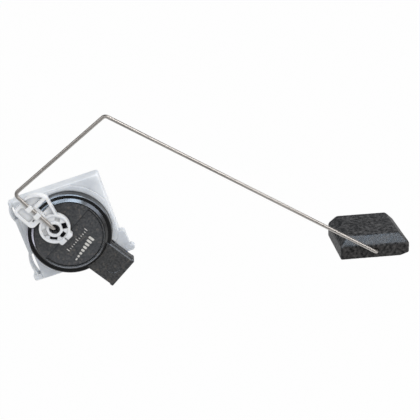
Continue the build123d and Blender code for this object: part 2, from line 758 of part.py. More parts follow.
with BuildPart() as lever:
    # Sheet of the arm with a rib along its edge
    with BuildSketch(lever_plane(lever_rear)):
        add(arm_outline())
    extrude(amount=arm_sheet)
    with BuildSketch(lever_plane(lever_rear)):
        add(arm_outline())
        offset(arm_outline(), amount=-edge_rib, mode=Mode.SUBTRACT)
    extrude(amount=lever_thickness)
    with BuildSketch(lever_plane(lever_rear)):
        add(arm_outline())
        with Locations((cross_rib_place + cross_rib_width / 2, 0)):
            Rectangle(cross_rib_width, 3 * arm_half_width, mode=Mode.INTERSECT)
    extrude(amount=lever_thickness)
    # Opening beside the cross rib
    with BuildSketch(lever_plane(lever_rear)):
        offset(arm_outline(), amount=-edge_rib)
        with Locations((cross_rib_place - opening_length / 2, -(opening_inner + opening_outer) / 2)):
            Rectangle(opening_length, opening_outer - opening_inner, mode=Mode.INTERSECT)
    extrude(amount=lever_thickness, mode=Mode.SUBTRACT)
    # Wing with its pocket and drain slot
    with BuildSketch(lever_plane(lever_rear)):
        with Locations(((wing_start + wing_end) / 2, wing_side / 2)):
            RectangleRounded(wing_end - wing_start, wing_side, wing_corner)
    extrude(amount=lever_thickness)
    with BuildSketch(lever_plane(lever_front + pocket_depth)):
        with Locations((pocket_place, (pocket_inner + wing_side - pocket_wall) / 2)):
            RectangleRounded(
                wing_end - wing_start - 2 * (pocket_wall + pocket_shift),
                wing_side - pocket_wall - pocket_inner,
                wing_corner - pocket_wall,
            )
    extrude(amount=pocket_depth, mode=Mode.SUBTRACT)
    with BuildSketch(lever_plane(lever_rear)):
        with Locations((wing_start + drain_place, wing_side / 2)):
            Rectangle(drain_width, drain_length)
    extrude(amount=lever_thickness, mode=Mode.SUBTRACT)
    # Bed of the wire
    with BuildSketch(lever_plane(lever_rear)):
        with Locations(((hub_radius + cross_rib_place) / 2, 0)):
            Rectangle(cross_rib_place - hub_radius + cross_rib_width, 2 * bed_side)
    extrude(amount=lever_thickness)
    # Hub with its lug, raised rim and centre ring
    with BuildSketch(lever_plane(lever_rear)):
        Circle(hub_radius)
        with Locations((-lug_end / 2, 0)):
            RectangleRounded(lug_end, 2 * lug_half_width, lug_corner)
    extrude(amount=lever_thickness)
    with BuildSketch(lever_plane(hub_face)):
        Circle(hub_radius - hub_rim_wall)
        Circle(lip_pocket + hub_ring_wall, mode=Mode.SUBTRACT)
    extrude(amount=hub_face_step, mode=Mode.SUBTRACT)
    with BuildSketch(lever_plane(lever_front)):
        Circle(lip_pocket + hub_ring_wall)
    extrude(amount=hub_ring_rise)
    with BuildSketch(lever_plane(lever_rear)):
        with Locations((-lug_end, 0)):
            Rectangle(2 * lug_slit_depth, lug_slit)
    extrude(amount=lever_thickness, mode=Mode.SUBTRACT)
    # Bore, pocket of the post's lip and pocket of the magnet
    with BuildSketch(lever_plane(lever_rear)):
        Circle(hub_bore)
    extrude(amount=lever_thickness, mode=Mode.SUBTRACT)
    with BuildSketch(lever_plane(lip_seat)):
        Circle(lip_pocket)
    extrude(amount=lever_thickness, mode=Mode.SUBTRACT)
    with BuildSketch(lever_plane(lever_rear)):
        Circle(magnet_outer)
        Circle(magnet_inner, mode=Mode.SUBTRACT)
    extrude(amount=magnet_pocket, mode=Mode.SUBTRACT)
    # Windows all round but for the wire's place, the two beside the arm blind
    with BuildSketch(lever_plane(lever_rear)):
        with PolarLocations(window_radius, open_windows, 2 * window_step, open_range, endpoint=True):
            RectangleRounded(window_width, window_length, window_corner)
    extrude(amount=lever_thickness, mode=Mode.SUBTRACT)
    with BuildSketch(lever_plane(hub_face + blind_window_depth)):
        with PolarLocations(window_radius, 2, -window_step, 2 * window_step, endpoint=True):
            RectangleRounded(window_width, window_length, window_corner)
    extrude(amount=blind_window_depth, mode=Mode.SUBTRACT)
    # Clips over the wire, open on the side away from the wing
    for clip_place in clip_places:
        with BuildSketch(lever_plane(lever_front)):
            with Locations((clip_place, (clip_near + clip_far) / 2)):
                Rectangle(clip_length, clip_far - clip_near)
        extrude(amount=lever_front - clip_front)
        with BuildSketch(lever_plane(lever_front)):
            with Locations((clip_place, clip_near / 2)):
                Rectangle(2 * clip_length, -clip_near)
        extrude(amount=lever_front - wire_level + clip_mouth, mode=Mode.SUBTRACT)
    # Channel of the wire
    channel_plane = Plane(
        origin=lever_plane(wire_level).origin,
        x_dir=lever_plane(0).y_dir,
        z_dir=lever_plane(0).x_dir,
    )
    with BuildSketch(channel_plane):
        Circle(groove_radius)
    extrude(amount=arm_end + edge_rib, mode=Mode.SUBTRACT)

with BuildPart() as flux_ring:
    with BuildSketch(lever_plane(lever_rear - magnet_clearance - magnet_thickness)):
        Circle(magnet_outer - magnet_clearance)
        Circle(magnet_inner + magnet_clearance, mode=Mode.SUBTRACT)
    extrude(amount=flux_thickness)

with BuildPart() as magnet_ring:
    with BuildSketch(lever_plane(lever_rear - magnet_clearance)):
        Circle(magnet_outer - magnet_clearance)
        Circle(magnet_inner + magnet_clearance, mode=Mode.SUBTRACT)
    extrude(amount=magnet_thickness)

# Wire: a foot in the pivot post, two bends across the face and a foot through the float
wire_start = bore_bottom - wire_foot_gap
with BuildPart() as float_arm:
    with BuildLine():
        FilletPolyline(
            (pivot_x, wire_start, pivot_z),
            (pivot_x, wire_level, pivot_z),
            (elbow_1[0], wire_level, elbow_1[1]),
            (elbow_2[0], wire_level, elbow_2[1]),
            (float_axis[0], wire_level, float_axis[1]),
            (float_axis[0], wire_end, float_axis[1]),
            radius=bend_radius,
        )
    with BuildSketch(face_plane(wire_start, pivot_x, pivot_z)):
        Circle(wire_radius)
    sweep()
    wire_tips = float_arm.faces().filter_by(GeomType.PLANE).edges()
    chamfer(wire_tips, wire_point)

# Float: a foam block with sloped upper edges, rounded rear corners and a bore for the wire
float_right = float_length - float_left
float_top = Axis((0, 0, 0), (sin(radians(-float_tilt)), 0, cos(radians(-float_tilt))))
with BuildPart() as float_body:
    with BuildSketch(float_plane(float_rear)):
        with BuildLine():
            Polyline(
                (-float_left, -float_below),
                (float_right - float_underside_cut, -float_below),
                (float_right, float_underside_rise - float_below),
                (float_right, float_above),
                (-float_left, float_above),
                close=True,
            )
        make_face()
    extrude(amount=float_depth)
    fillet(float_body.edges().filter_by(float_top).group_by(Axis.Y)[-1], float_corner)
    chamfer(float_body.faces().sort_by(float_top)[-1].edges(), float_slope)
    with BuildSketch(float_plane(float_rear)):
        Circle(wire_radius + running_clearance)
    extrude(amount=float_depth, mode=Mode.SUBTRACT)

# Retaining cap behind the float
cap_front = float_rear + cap_gap
with BuildPart() as float_retainer:
    with BuildSketch(float_plane(cap_front + cap_thickness)):
        Circle(cap_radius)
    extrude(amount=cap_thickness)
    chamfer(float_retainer.edges().filter_by(GeomType.CIRCLE).group_by(Axis.Y)[-1], cap_edge)
    with BuildSketch(float_plane(cap_front + cap_thickness + cap_sleeve_length)):
        Circle(cap_sleeve_radius)
    extrude(amount=cap_sleeve_length)
    with BuildSketch(float_plane(cap_front + cap_thickness + cap_sleeve_length)):
        Circle(wire_radius + cap_grip_clearance)
    extrude(amount=cap_thickness + cap_sleeve_length, mode=Mode.SUBTRACT)

carrier.part.label = "carrier"
sensor_housing.part.label = "sensor_housing"
sensor_lid.part.label = "sensor_lid"
lid_seal.part.label = "lid_seal"
circuit_board.part.label = "circuit_board"
hall_sensor.part.label = "hall_sensor"
hall_sensor_legs.part.label = "hall_sensor_legs"
capacitors.part.label = "capacitors"
resistors.part.label = "resistors"
solder_joints.part.label = "solder_joints"
terminal_sealant.part.label = "terminal_sealant"
lever.part.label = "lever"
magnet_ring.part.label = "magnet_ring"
flux_ring.part.label = "flux_ring"
float_arm.part.label = "float_arm"
float_retainer.part.label = "float_retainer"
float_body.part.label = "float_body"

export_step(carrier.part, "parts/carrier.step")
export_step(sensor_housing.part, "parts/sensor_housing.step")
export_step(sensor_lid.part, "parts/sensor_lid.step")
export_step(lid_seal.part, "parts/lid_seal.step")
export_step(circuit_board.part, "parts/circuit_board.step")
export_step(hall_sensor.part, "parts/hall_sensor.step")
export_step(hall_sensor_legs.part, "parts/hall_sensor_legs.step")
export_step(capacitors.part, "parts/capacitors.step")
export_step(resistors.part, "parts/resistors.step")
export_step(solder_joints.part, "parts/solder_joints.step")
export_step(terminal_sealant.part, "parts/terminal_sealant.step")
export_step(lever.part, "parts/lever.step")
export_step(magnet_ring.part, "parts/magnet_ring.step")
export_step(flux_ring.part, "parts/flux_ring.step")
export_step(float_arm.part, "parts/float_arm.step")
export_step(float_retainer.part, "parts/float_retainer.step")
export_step(float_body.part, "parts/float_body.step")
for terminal in terminals:
    export_step(terminal, f"parts/{terminal.label}.step")
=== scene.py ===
"""Fuel level sender: finishes, modelled pieces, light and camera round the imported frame.

Places are in the frame's own axes: +Z up, +X to the float's side, +Y away from the viewer. The
pieces' classes hold lengths in millimetres and angles in degrees, and mm() gives metres.
"""
import logging
import math
from contextlib import contextmanager
from dataclasses import KW_ONLY, dataclass
from enum import Enum
from typing import Any, Callable, Iterator

import bpy
from mathutils import Matrix, Vector


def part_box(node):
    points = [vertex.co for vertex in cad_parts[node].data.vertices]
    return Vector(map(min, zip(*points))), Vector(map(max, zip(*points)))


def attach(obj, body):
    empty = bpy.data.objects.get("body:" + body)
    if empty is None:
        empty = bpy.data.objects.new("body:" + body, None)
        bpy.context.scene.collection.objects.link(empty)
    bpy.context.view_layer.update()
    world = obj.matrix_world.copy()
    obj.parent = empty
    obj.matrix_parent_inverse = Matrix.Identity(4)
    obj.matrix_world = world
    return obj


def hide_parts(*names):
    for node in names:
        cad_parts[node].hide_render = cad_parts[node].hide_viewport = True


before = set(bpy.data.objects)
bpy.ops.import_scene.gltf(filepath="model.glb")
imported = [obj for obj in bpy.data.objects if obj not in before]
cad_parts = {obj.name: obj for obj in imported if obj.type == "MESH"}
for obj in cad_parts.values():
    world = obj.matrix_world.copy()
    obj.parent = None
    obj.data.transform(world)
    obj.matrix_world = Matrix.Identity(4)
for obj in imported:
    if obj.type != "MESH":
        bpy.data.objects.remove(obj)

Inputs = dict[str | int, Any]
Piece = bpy.types.Object
Socket = bpy.types.NodeSocket
Tree = bpy.types.NodeTree
Triple = tuple[float, float, float]

log = logging.getLogger("fuel_level_sender")
DRAW_ATTRIBUTE = "draw"  # each point's place round the wire, and its way along it in metres
MM_PER_METRE = 1000.0
TOUCH = 0.01  # millimetres within which two places count as one
ROUND_STEPS = 4  # facets across a small rounded edge
PIVOT = (-6.0, 8.6)  # the post's axis, across and up
ARM_ANGLE = 116.3  # the way from the pivot to the wire's first bend
CONNECTOR_ANGLE = -58.6  # the way from the sensor's axis to the connector
NOISE = {"From Min": 0.3, "From Max": 0.7}  # nearly all of a noise pattern lies in this range
CORNER_LOW, CORNER_HIGH = 0.3, 0.95  # how open a full corner is, and a face just beside one
WHITE = "#FFFFFF"


class Body(Enum):
    """Moving bodies of the frame."""

    BASE = "sender_base"
    ARM = "arm"
    FLOAT = "float"


class Slot(Enum):
    """Material slots of the record. No piece in this script takes one."""

    LEVER = "white_acetal"
    WIRE = "stainless_wire"
    FLOAT = "float_foam"


def mm(value: float) -> float:
    """Returns a length in millimetres as metres."""
    return value / MM_PER_METRE


def linear(hex_colour: str) -> tuple[float, float, float, float]:
    """Turns an sRGB hex colour to linear light.

    Args:
        hex_colour: Six hex digits after a hash sign.

    Returns:
        Red, green, blue and an alpha of 1, in linear light.
    """
    channels = [int(hex_colour[start:start + 2], 16) / 255.0 for start in (1, 3, 5)]
    light = [c / 12.92 if c <= 0.04045 else ((c + 0.055) / 1.055) ** 2.4 for c in channels]
    return light[0], light[1], light[2], 1.0


def per_metre(feature_mm: float) -> float:
    """Returns the texture scale at which one feature of a pattern is that wide."""
    return MM_PER_METRE / feature_mm


def connect(tree: Tree, node: bpy.types.Node, inputs: Inputs) -> None:
    """Sets or links a node's inputs.

    Args:
        tree: The tree that holds the node.
        node: The node.
        inputs: For each socket a value, or another node's output to link.
    """
    for key, value in inputs.items():
        if isinstance(value, Socket):
            tree.links.new(value, node.inputs[key])
        else:
            node.inputs[key].default_value = value


def add_node(
    tree: Tree, kind: str, inputs: Inputs | None = None, out: str | int = 0, **settings: Any
) -> Socket | None:
    """Adds a shader node with its settings and links.

    Args:
        tree: The tree that gets the node.
        kind: The node's type name after ShaderNode.
        inputs: For each socket a value, or another node's output to link.
        out: The output that is wanted.
        **settings: Values of the node's own properties.

    Returns:
        The wanted output, or None from a node that has none.
    """
    node = tree.nodes.new(f"ShaderNode{kind}")
    for key, value in settings.items():
        setattr(node, key, value)
    connect(tree, node, inputs or {})
    return node.outputs[out] if node.outputs else None


def new_material(name: str) -> tuple[bpy.types.Material, Tree, bpy.types.Node]:
    """Makes an empty node material with one Principled shader on its output.

    Args:
        name: The finish's plain name.

    Returns:
        The material, its tree and the Principled node.
    """
    material = bpy.data.materials.new(name)
    material.use_nodes = True
    tree = material.node_tree
    tree.nodes.clear()
    surface = add_node(tree, "BsdfPrincipled")
    add_node(tree, "OutputMaterial", {"Surface": surface})
    return material, tree, surface.node


@dataclass(frozen=True)
class Finish:
    """What every finish has: a name, soft edges, a grain pressed in and painted shade in its
    corners.
    """

    name: str
    _: KW_ONLY
    edge_mm: float = 0.2
    grain_mm: float = 0.6
    grain_depth_mm: float = 0.01
    corner_mm: float = 1.5
    corner_shade: float = 0.7

    def build(self) -> bpy.types.Material:
        """Makes the material.

        Returns:
            The material.
        """
        material, tree, shader = new_material(self.name)
        connect(tree, shader, self.look(tree))
        return material

    def look(self, tree: Tree) -> Inputs:
        """Returns what the Principled shader gets, which each kind of finish says for itself."""
        raise NotImplementedError

    def mottled(
        self, tree: Tree, pattern: Socket, dark: str, light: str, limits: Inputs = NOISE
    ) -> Socket:
        """Mixes two colours by a pattern.

        Args:
            tree: The material's tree.
            pattern: The pattern.
            dark: The colour where the pattern is low, in sRGB hex.
            light: The colour where it is high.
            limits: The pattern's range from the one to the other.

        Returns:
            The colour's socket.
        """
        share = add_node(tree, "MapRange", {"Value": pattern, **limits})
        shades = {0: share, 6: linear(dark), 7: linear(light)}
        return add_node(tree, "Mix", shades, 2, data_type="RGBA")

    def with_painted_shade(self, tree: Tree, colour: Socket) -> Socket:
        """Paints shade into a colour in corners and beside other pieces, by ambient occlusion.

        Args:
            tree: The material's tree.
            colour: The colour of the open faces.

        Returns:
            The darkened colour's socket.
        """
        # Painted shade: the colour darkens where other faces are near.
        reach = {"Distance": mm(self.corner_mm)}
        openness = add_node(tree, "AmbientOcclusion", reach, "AO", samples=8)
        limits = {"From Min": CORNER_LOW, "From Max": CORNER_HIGH, "To Min": self.corner_shade}
        share = add_node(tree, "MapRange", {"Value": openness, **limits})
        shades = {0: 1.0, 6: colour, 7: share}
        return add_node(tree, "Mix", shades, 2, data_type="RGBA", blend_type="MULTIPLY")

    def relief(self, tree: Tree, height: Socket, strength: float | Socket = 0.6) -> Socket:
        """Softens the edges, as every mould does, and presses the grain in.

        Args:
            tree: The material's tree.
            height: The grain's height, from 0 to 1.
            strength: How much of the grain shows.

        Returns:
            The normal's socket.
        """
        edge = add_node(tree, "Bevel", {"Radius": mm(self.edge_mm)}, samples=6)
        depth = mm(self.grain_depth_mm)
        inputs = {"Height": height, "Distance": depth, "Strength": strength, "Normal": edge}
        return add_node(tree, "Bump", inputs)


@dataclass(frozen=True)
class MilkyAcetal(Finish):
    """Natural acetal, injection moulded: milky, as light goes a little way into its walls.

    Its roughness has a lowest and a highest value.
    """

    shadow: str = "#D0D4D9"
    colour: str = "#E6E9EC"
    roughness: tuple[float, float] = (0.29, 0.4)
    scatter_mm: float = 1.8
    scatter_weight: float = 0.5
    flow_mm: float = 16.0
    cloud_high: float = 0.6

    def look(self, tree: Tree) -> Inputs:
        """Draws faint flow clouds and a fine satin grain.

        Args:
            tree: The material's tree.

        Returns:
            What the shader gets.
        """
        place = add_node(tree, "TexCoord", out="Object")
        clouds, grain = (
            add_node(tree, "TexNoise", {"Vector": place, "Scale": scale, "Detail": detail})
            for scale, detail in ((per_metre(self.flow_mm), 3.0), (per_metre(self.grain_mm), 2.0))
        )
        limits = {**NOISE, "From Max": self.cloud_high}
        colour = self.mottled(tree, clouds, self.shadow, self.colour, limits)
        limits = {"To Min": self.roughness[0], "To Max": self.roughness[1]}
        rough = add_node(tree, "MapRange", {"Value": clouds, **limits})
        return {
            # The base colour carries painted shade in its corners.
            "Base Color": self.with_painted_shade(tree, colour),
            "Roughness": rough,
            "Normal": self.relief(tree, grain),
            "IOR": 1.48,
            "Subsurface Weight": self.scatter_weight,
            "Subsurface Radius": (1.0, 1.05, 1.15),
            "Subsurface Scale": mm(self.scatter_mm),
        }


@dataclass(frozen=True)
class Polyester(Finish):
    """Black glass-filled polyester, moulded in a tool part polished and part spark-eroded.

    The polished faces are a deep black that mirrors the lamps. The eroded ones are a dull
    grey-black with a fine speckle, where fibres reach the skin. They lie between two radii round
    the sensor's axis, and on the connector's shroud where its half width is given.
    """

    grain_mm: float = 1.2
    grain_depth_mm: float = 0.03
    corner_mm: float = 4.0
    corner_shade: float = 0.2
    gloss_dark: str = "#0B0B0C"
    gloss_light: str = "#151516"
    dull_dark: str = "#171717"
    dull_light: str = "#494847"
    fibre: str = "#5A534B"
    gloss_roughness: tuple[float, float] = (0.15, 0.28)
    dull_roughness: float = 0.5
    gloss_grain: float = 0.08
    dull_grain: float = 0.9
    flow_mm: float = 7.0
    fibre_mm: float = 1.7
    fibre_low: float = 0.55
    fibre_high: float = 0.73
    grain_from_mm: float = 0.0
    grain_to_mm: float = 100.0
    blend_mm: float = 0.15
    shroud_from_mm: float = 22.9
    shroud_half_mm: float = 0.0
    # A painted shadow line lies at the foot of the sunken field's step.
    step_shadow_mm: float | None = None
    step_shadow_width_mm: float = 0.75
    step_shadow_colour: str = "#050505"

    def grained(self, tree: Tree, place: Socket) -> Socket:
        """Tells the eroded faces from the polished ones by their distance from the sensor's axis.

        Args:
            tree: The material's tree.
            place: The Object coordinates.

        Returns:
            A socket that is 1 where the grain is and 0 where the tool was polished.
        """
        face = {0: place, 1: (1.0, 0.0, 1.0)}
        across = add_node(tree, "VectorMath", face, operation="MULTIPLY")
        radius = add_node(tree, "VectorMath", {0: across}, "Value", operation="LENGTH")
        sides = (self.grain_from_mm, self.blend_mm), (self.grain_to_mm, -self.blend_mm)
        limits = [(mm(radius_mm - half), mm(radius_mm + half)) for radius_mm, half in sides]
        beyond_inner, within_outer = (
            add_node(tree, "MapRange", {"Value": radius, "From Min": low, "From Max": high})
            for low, high in limits
        )
        both = {0: beyond_inner, 1: within_outer}
        ring = add_node(tree, "Math", both, operation="MULTIPLY")
        if not self.shroud_half_mm:
            return ring
        aside = self.distance(tree, place, 90.0)
        shroud, ahead, between = (
            add_node(tree, "Math", test, operation=operation)
            for operation, test in (
                ("GREATER_THAN", {0: radius, 1: mm(self.shroud_from_mm)}),
                ("GREATER_THAN", {0: self.distance(tree, place, 0.0), 1: 0.0}),
                ("COMPARE", {0: aside, 1: 0.0, 2: mm(self.shroud_half_mm)}),
            )
        )
        for part in (ahead, between):
            both = {0: shroud, 1: part}
            shroud = add_node(tree, "Math", both, operation="MULTIPLY")
        return add_node(tree, "Math", {0: ring, 1: shroud}, operation="MAXIMUM")

    def distance(self, tree: Tree, place: Socket, aside: float) -> Socket:
        """Measures from the sensor's axis along the connector, or across it.

        Args:
            tree: The material's tree.
            place: The Object coordinates.
            aside: 0 for along the connector, 90 for across it.

        Returns:
            The distance's socket, in metres.
        """
        turn = math.radians(CONNECTOR_ANGLE + aside)
        way = {0: place, 1: (math.cos(turn), 0.0, math.sin(turn))}
        return add_node(tree, "VectorMath", way, "Value", operation="DOT_PRODUCT")

    def colour(self, tree: Tree, place: Socket, grain: Socket, grained: Socket) -> Socket:
        """Mixes the speckle. It is drawn coarser than the real fibres, so that it shows.

        Args:
            tree: The material's tree.
            place: The Object coordinates.
            grain: The grain's pattern.
            grained: 1 where the grain is.

        Returns:
            The colour's socket.
        """
        gloss = self.mottled(tree, grain, self.gloss_dark, self.gloss_light)
        dull = self.mottled(tree, grain, self.dull_dark, self.dull_light)
        pattern = {"Vector": place, "Scale": per_metre(self.fibre_mm), "Detail": 6.0}
        fibres = add_node(tree, "TexNoise", pattern)
        limits = {"From Min": self.fibre_low, "From Max": self.fibre_high}
        specks = add_node(tree, "MapRange", {"Value": fibres, **limits})
        shades = {0: specks, 6: dull, 7: linear(self.fibre)}
        speckled = add_node(tree, "Mix", shades, 2, data_type="RGBA")
        shades = {0: grained, 6: gloss, 7: speckled}
        mixed = add_node(tree, "Mix", shades, 2, data_type="RGBA")
        # The lid's colour gets a painted shadow line at its step.
        return mixed if self.step_shadow_mm is None else self.painted_step_shadow(tree, place, mixed)

    def painted_step_shadow(self, tree: Tree, place: Socket, colour: Socket) -> Socket:
        """Paints a shadow line at the foot of the step along the sunken field's straight edge.

        Args:
            tree: The material's tree.
            place: The Object coordinates.
            colour: The colour beside the step.

        Returns:
            The colour's socket.
        """
        along = self.distance(tree, place, 0.0)
        limits = {0: along, 1: mm(self.step_shadow_mm), 2: mm(self.step_shadow_width_mm / 2)}
        line = add_node(tree, "Math", limits, operation="COMPARE")
        shades = {0: line, 6: colour, 7: linear(self.step_shadow_colour)}
        return add_node(tree, "Mix", shades, 2, data_type="RGBA")

    def look(self, tree: Tree) -> Inputs:
        """Lays the eroded faces' grain beside the polished faces' flow.

        Args:
            tree: The material's tree.

        Returns:
            What the shader gets.
        """
        place = add_node(tree, "TexCoord", out="Object")
        grained = self.grained(tree, place)
        grain, flow = (
            add_node(tree, "TexNoise", {"Vector": place, "Scale": scale, "Detail": detail})
            for scale, detail in ((per_metre(self.grain_mm), 4.0), (per_metre(self.flow_mm), 6.0))
        )
        limits = {**NOISE, "To Min": self.gloss_roughness[0], "To Max": self.gloss_roughness[1]}
        gloss = add_node(tree, "MapRange", {"Value": flow, **limits})
        rough = add_node(tree, "Mix", {0: grained, 2: gloss, 3: self.dull_roughness})
        limits = {"To Min": self.gloss_grain, "To Max": self.dull_grain}
        depth = add_node(tree, "MapRange", {"Value": grained, **limits})
        return {
            # The base colour carries painted shade in its corners and beside other pieces.
            "Base Color": self.with_painted_shade(tree, self.colour(tree, place, grain, grained)),
            "Roughness": rough,
            "Normal": self.relief(tree, grain, depth),
            "IOR": 1.57,
        }


@dataclass(frozen=True)
class DrawnStainless(Finish):
    """Cold-drawn stainless wire: a grey bright metal, with faint die lines that run along it."""

    dark: str = "#A5A19D"
    light: str = "#C4C0BB"
    roughness: tuple[float, float] = (0.36, 0.52)
    lines_round: float = 2.4
    line_length_mm: float = 40.0

    def look(self, tree: Tree) -> Inputs:
        """Draws the die lines by the wire's own attribute, so that they follow its bends.

        Args:
            tree: The material's tree.

        Returns:
            What the shader gets.
        """
        along = add_node(tree, "Attribute", out="Vector", attribute_name=DRAW_ATTRIBUTE)
        scale = (self.lines_round, self.lines_round, per_metre(self.line_length_mm))
        stretched = add_node(tree, "VectorMath", {0: along, 1: scale}, operation="MULTIPLY")
        pattern = {"Vector": stretched, "Scale": 1.0, "Detail": 4.0}
        lines = add_node(tree, "TexNoise", pattern)
        limits = {**NOISE, "To Min": self.roughness[0], "To Max": self.roughness[1]}
        rough = add_node(tree, "MapRange", {"Value": lines, **limits})
        colour = self.mottled(tree, lines, self.dark, self.light)
        return {"Base Color": colour, "Roughness": rough, "Metallic": 1.0}


@dataclass(frozen=True)
class ClosedCellFoam(Finish):
    """Nitrile float foam, cut from a moulded block: dull black, with a speckle of opened cells."""

    grain_mm: float = 0.9
    grain_depth_mm: float = 0.1
    dark: str = "#0B0A0A"
    light: str = "#4E4B49"
    roughness: tuple[float, float] = (0.4, 0.66)
    cloud_mm: float = 2.0
    cloud_low: float = 0.38
    cloud_high: float = 0.72

    def look(self, tree: Tree) -> Inputs:
        """Draws the cells as coarse as the picture can show them.

        Args:
            tree: The material's tree.

        Returns:
            What the shader gets.
        """
        place = add_node(tree, "TexCoord", out="Object")
        pattern = {"Vector": place, "Scale": per_metre(self.grain_mm)}
        cells = add_node(tree, "TexVoronoi", pattern)
        pattern = {"Vector": place, "Scale": per_metre(self.cloud_mm), "Detail": 6.0}
        clouds = add_node(tree, "TexNoise", pattern)
        limits = {**NOISE, "To Min": self.roughness[0], "To Max": self.roughness[1]}
        rough = add_node(tree, "MapRange", {"Value": clouds, **limits})
        limits = {"From Min": self.cloud_low, "From Max": self.cloud_high}
        return {
            "Base Color": self.mottled(tree, clouds, self.dark, self.light, limits),
            "Roughness": rough,
            "Normal": self.relief(tree, cells, strength=0.8),
            "IOR": 1.38,
        }


@dataclass(frozen=True)
class PlainFinish(Finish):
    """A small part's finish: two close colours, a roughness that varies, and a fine grain."""

    dark: str
    light: str
    roughness: float
    spread: float = 0.15
    metallic: float = 0.0

    def look(self, tree: Tree) -> Inputs:
        """Varies the colour and the roughness by the grain.

        Args:
            tree: The material's tree.

        Returns:
            What the shader gets.
        """
        place = add_node(tree, "TexCoord", out="Object")
        pattern = {"Vector": place, "Scale": per_metre(self.grain_mm), "Detail": 3.0}
        grain = add_node(tree, "TexNoise", pattern)
        limits = {
            "To Min": (1.0 - self.spread) * self.roughness,
            "To Max": (1.0 + self.spread) * self.roughness,
        }
        rough = add_node(tree, "MapRange", {"Value": grain, **limits})
        return {
            "Base Color": self.mottled(tree, grain, self.dark, self.light),
            "Roughness": rough,
            "Normal": self.relief(tree, grain),
            "Metallic": self.metallic,
        }


@dataclass(frozen=True)
class PlainMetal(PlainFinish):
    """A small metal part's finish."""

    metallic: float = 1.0


def deselect_all() -> None:
    """Deselects every object."""
    bpy.ops.object.select_all(action="DESELECT")


def pick(piece: Piece) -> None:
    """Makes one object the only selected and the active one.

    Args:
        piece: The object.
    """
    deselect_all()
    piece.select_set(True)
    bpy.context.view_layer.objects.active = piece


@contextmanager
def editing(piece: Piece) -> Iterator[None]:
    """Opens a piece in edit mode, with its edges to select, and leaves it again.

    Args:
        piece: The mesh object.
    """
    pick(piece)
    bpy.context.tool_settings.mesh_select_mode = (False, True, False)
    bpy.ops.object.mode_set(mode="EDIT")
    yield
    bpy.ops.object.mode_set(mode="OBJECT")


def select_edges(piece: Piece, chosen: Callable[[Vector, Vector], bool]) -> None:
    """Selects the edges of a piece by their two ends.

    Args:
        piece: The mesh object, in object mode.
        chosen: Says for an edge's two end points whether it is selected.
    """
    mesh = piece.data
    for part in (mesh.vertices, mesh.edges, mesh.polygons):
        part.foreach_set("select", [False] * len(part))
    for edge in mesh.edges:
        ends = [mesh.vertices[index] for index in edge.vertices]
        if chosen(ends[0].co, ends[1].co):
            edge.select = ends[0].select = ends[1].select = True


def finish_modifier(piece: Piece, kind: str, **settings: Any) -> None:
    """Adds a modifier to a piece, sets it and applies it.

    Args:
        piece: The mesh object.
        kind: The modifier's type.
        **settings: Values of the modifier's properties.
    """
    pick(piece)
    bpy.ops.object.modifier_add(type=kind)
    modifier = piece.modifiers[-1]
    for key, value in settings.items():
        setattr(modifier, key, value)
    bpy.ops.object.modifier_apply(modifier=modifier.name)


def add_block(middle: Triple, sizes: Triple) -> Piece:
    """Adds a block, to be shaped, with its place in its mesh.

    Args:
        middle: The block's middle in millimetres.
        sizes: Its sizes in millimetres.

    Returns:
        The block.
    """
    deselect_all()
    place, scale = ([mm(value) for value in values] for values in (middle, sizes))
    bpy.ops.mesh.primitive_cube_add(size=1.0, location=place, scale=scale)
    bpy.ops.object.transform_apply()
    return bpy.context.object


def runs_deep(a: Vector, b: Vector) -> bool:
    """Tells whether the edge between two points runs into the depth."""
    return abs(a.y - b.y) > mm(TOUCH)


def bevel_edges(
    piece: Piece, chosen: Callable[[Vector, Vector], bool], width: float, steps: int = ROUND_STEPS
) -> None:
    """Bevels some edges of a piece.

    Args:
        piece: The mesh object.
        chosen: Says for an edge's two end points whether it is bevelled.
        width: The bevel's width in millimetres.
        steps: How many facets it has.
    """
    select_edges(piece, chosen)
    with editing(piece):
        bpy.ops.mesh.bevel(offset=mm(width), segments=steps, affect="EDGES")


def cut_away(piece: Piece, cutter: Piece) -> None:
    """Takes a cutter's space out of a piece, and removes the cutter."""
    finish_modifier(piece, "BOOLEAN", operation="DIFFERENCE", object=cutter, solver="EXACT")
    bpy.data.objects.remove(cutter)


def smooth(piece: Piece, angle: float = 32.0) -> None:
    """Shades a piece smooth across edges that turn less than an angle in degrees."""
    pick(piece)
    bpy.ops.object.shade_smooth_by_angle(angle=math.radians(angle))


def dress(piece: Piece, finish: Finish) -> None:
    """Gives every face of a piece one finish."""
    piece.data.materials.clear()
    piece.data.materials.append(finish.build())


def put_on(
    piece: Piece, finish: Finish, body: Body, node: str | None = None
) -> None:
    """Dresses a piece and puts it on its body, in the place of a node of the frame.

    Args:
        piece: The shaped object.
        finish: Its finish.
        body: The body that it moves with.
        node: The node that it stands for.
    """
    dress(piece, finish)
    pick(piece)
    bpy.ops.object.transform_apply()
    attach(piece, body.value)
    if node:
        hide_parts(node)
    log.info("%s: %d faces on %s", piece.name, len(piece.data.polygons), body.value)


@dataclass
class KeptNodes:
    """The nodes that keep the frame's shape, each with its finish."""

    finishes: dict[str, Finish]

    def build(self) -> None:
        """Dresses the nodes."""
        for node, finish in self.finishes.items():
            dress(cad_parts[node], finish)
            log.info("%s: dressed in %s", node, finish.name)


